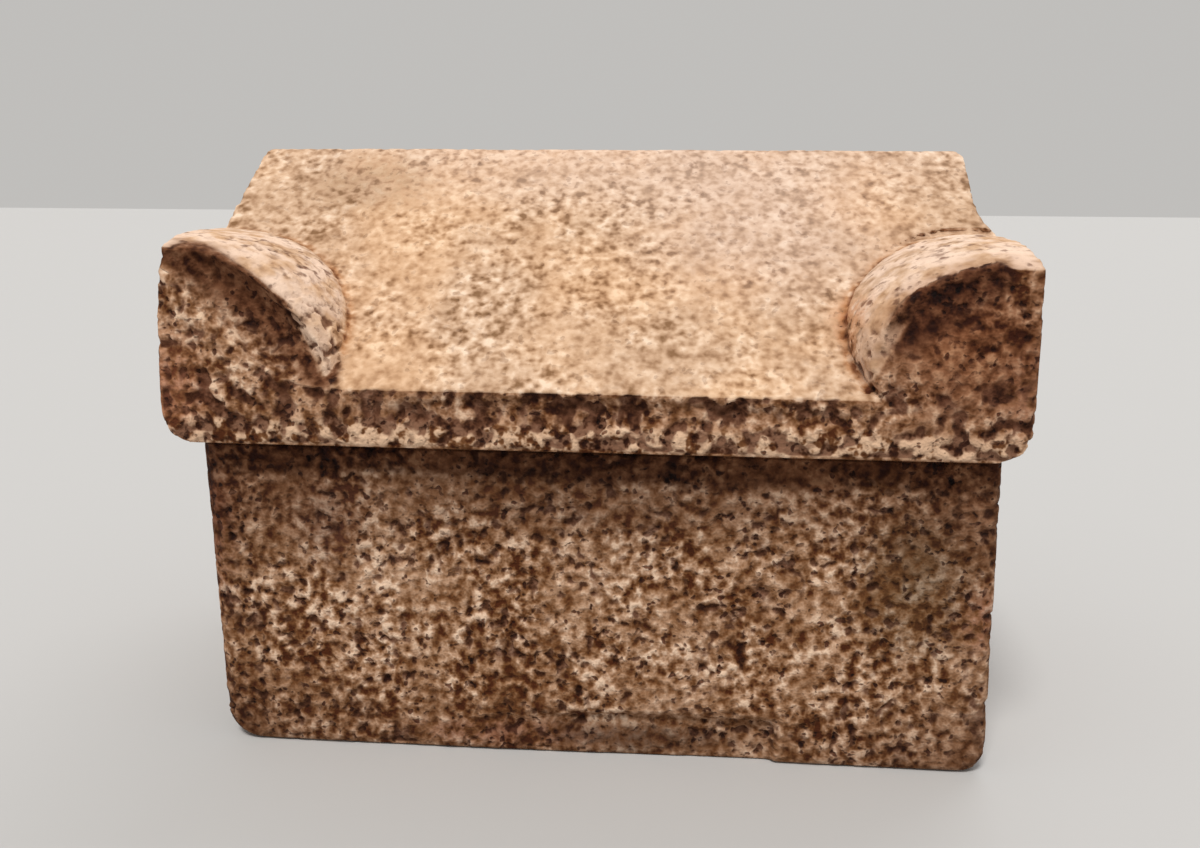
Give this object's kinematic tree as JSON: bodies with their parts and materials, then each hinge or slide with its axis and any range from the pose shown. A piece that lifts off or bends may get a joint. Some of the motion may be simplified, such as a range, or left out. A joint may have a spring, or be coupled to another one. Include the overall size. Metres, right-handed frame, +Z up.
{
  "type": "stone sarcophagus",
  "caption": "Small stone sarcophagus: a hollow, coarsely pitted chest under a loose gabled lid with quarter-round corner horns.",
  "frame": {"origin": "the centre of the lid's plan, on the ground that the chest stands on", "axes": "+X along the length to the right as seen from the front, +Y from the front to the back, +Z up"},
  "size_m": [0.806, 0.562, 0.5993],
  "materials": {
    "chest_stone": "coarse, deeply pitted brown stone, unpolished and weathered",
    "lid_stone": "pale sandy stone, finely grained on the roof and pitted on the horns, unpolished and weathered"
  },
  "bodies": {
    "root": {"chest": "chest_stone", "lid": "lid_stone"}
  },
  "joints": []
}
